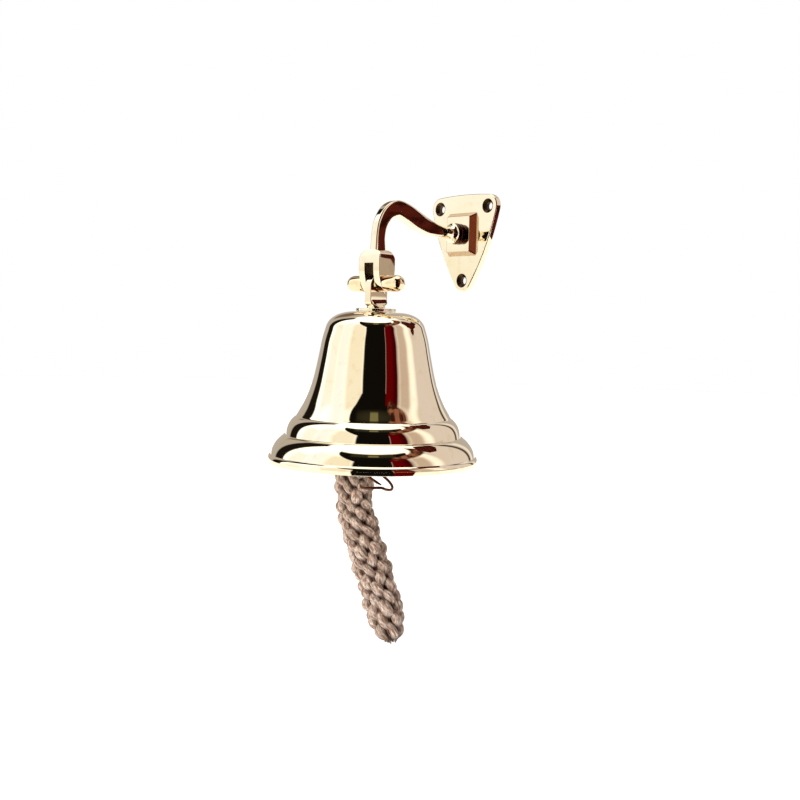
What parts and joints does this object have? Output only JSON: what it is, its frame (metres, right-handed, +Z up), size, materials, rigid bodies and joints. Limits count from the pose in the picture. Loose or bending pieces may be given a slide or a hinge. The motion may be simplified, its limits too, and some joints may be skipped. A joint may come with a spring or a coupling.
{
  "type": "wall-mounted ship bell",
  "caption": "Polished brass ship bell on a swan-neck wall bracket, with a swinging clapper and a short braided rope pull.",
  "frame": {"origin": "on the back face of the wall plate, midway between its two upper screw holes", "axes": "+Z up, +Y into the wall and square to it, the arm reaches out along -Y, +X along the wall to the right as seen from the room"},
  "size_m": [0.1246, 0.1393, 0.2727],
  "materials": {
    "polished_brass": "mirror polished and lacquered",
    "turned_brass": "turned and polished",
    "cast_brass": "as cast, satin",
    "brass_wire": "drawn wire, slightly tarnished",
    "zinc_plated_steel": "zinc plated",
    "cotton_rope": "natural cotton, braided round"
  },
  "bodies": {
    "bracket": {"wall_plate": "polished_brass", "swan_neck_arm": "polished_brass", "arm_screw": "zinc_plated_steel", "arm_spring_washer": "zinc_plated_steel", "pivot_pin": "turned_brass", "pivot_cap_nut": "turned_brass"},
    "bell": {"bell_hanger": "polished_brass", "crown_washer": "polished_brass", "bell_shell": "polished_brass", "inner_washer": "cast_brass", "clapper_eye_nut": "cast_brass"},
    "clapper": {"clapper_rod": "cast_brass", "clapper_ball": "turned_brass"},
    "lanyard": {"wire_ring": "brass_wire", "bell_rope": "cotton_rope", "rope_eye": "cotton_rope"}
  },
  "joints": [
    {"name": "bell_swing", "type": "hinge", "parent": "bracket", "child": "bell", "pos_m": [0, -0.077, -0.051], "axis": [-1, 0, 0], "range_deg": [-6, 45]},
    {"name": "clapper_swing", "type": "hinge", "parent": "bell", "child": "clapper", "pos_m": [0, -0.077, -0.0865], "axis": [-1, 0, 0], "range_deg": [-29.5, 29.5]},
    {"name": "rope_swing", "type": "hinge", "parent": "clapper", "child": "lanyard", "pos_m": [0, -0.077, -0.1618], "axis": [0, 1, 0], "range_deg": [-15, 15]}
  ]
}
